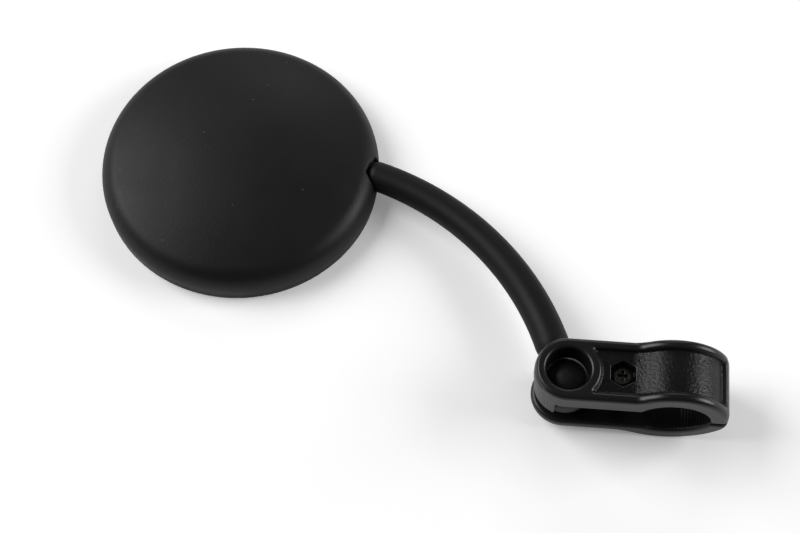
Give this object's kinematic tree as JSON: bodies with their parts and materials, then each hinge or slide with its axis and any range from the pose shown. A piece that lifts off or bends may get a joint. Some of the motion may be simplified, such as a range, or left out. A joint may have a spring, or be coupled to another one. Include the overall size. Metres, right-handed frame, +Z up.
{
  "type": "bicycle mirror",
  "caption": "Round bicycle mirror on a curved round arm with a ball joint and a two-jaw screw clamp for a 22 mm handlebar.",
  "frame": {"origin": "middle of the bounding box on the plane the object lies on, mirror face down", "axes": "+X along the object from the mirror to the clamp's handlebar end, +Z up, out of the back of the mirror head; the handlebar's axis runs along Y"},
  "size_m": [0.2036, 0.1274, 0.0299],
  "materials": {
    "black_plastic": "fine moulded satin black",
    "inner_plastic": "plain moulded black",
    "steel": "zinc-plated",
    "mirror": "silvered convex glass",
    "foam": "adhesive foam"
  },
  "bodies": {
    "clamp": {"lower_jaw": "black_plastic", "clamp_nut": "steel"},
    "clamp_top": {"upper_jaw": "black_plastic"},
    "screw": {"clamp_screw": "steel"},
    "ball": {"clamp_ball": "black_plastic"},
    "arm": {"arm": "black_plastic", "head_ball": "black_plastic"},
    "head": {"head_shell": "black_plastic", "mirror_glass": "mirror", "glass_pad": "foam", "carrier_plate": "inner_plastic", "socket_seat": "inner_plastic", "socket_cap": "inner_plastic", "socket_screw_1": "steel", "socket_screw_2": "steel", "socket_screw_3": "steel", "carrier_screw_1": "steel", "carrier_screw_2": "steel", "carrier_screw_3": "steel"}
  },
  "joints": [
    {"name": "jaw_slide", "type": "slide", "parent": "clamp", "child": "clamp_top", "axis": [0, 0, 1], "range_m": [0, 0.0028]},
    {"name": "screw_turn", "type": "hinge", "parent": "clamp_top", "child": "screw", "pos_m": [0.06825, -0.05365, 0.013], "axis": [0, 0, 1], "range_deg": [0, 1440.7]},
    {"name": "arm_swing", "type": "hinge", "parent": "clamp", "child": "ball", "pos_m": [0.05175, -0.05365, 0.01236], "axis": [0, 0, 1], "range_deg": [-42, 12]},
    {"name": "arm_twist", "type": "hinge", "parent": "ball", "child": "arm", "pos_m": [0.05175, -0.05365, 0.01236], "axis": [-0.3095, 0.9491, -0.0581], "range_deg": [-90, 90]},
    {"name": "head_twist", "type": "hinge", "parent": "arm", "child": "head", "pos_m": [-0.03049, 0.02434, 0.0082], "axis": [0.9413, -0.3241, -0.0946], "range_deg": [-60, 60]}
  ],
  "couplings": [
    {"joint": "screw_turn", "follows": "jaw_slide", "rad_per_m": 8976}
  ]
}
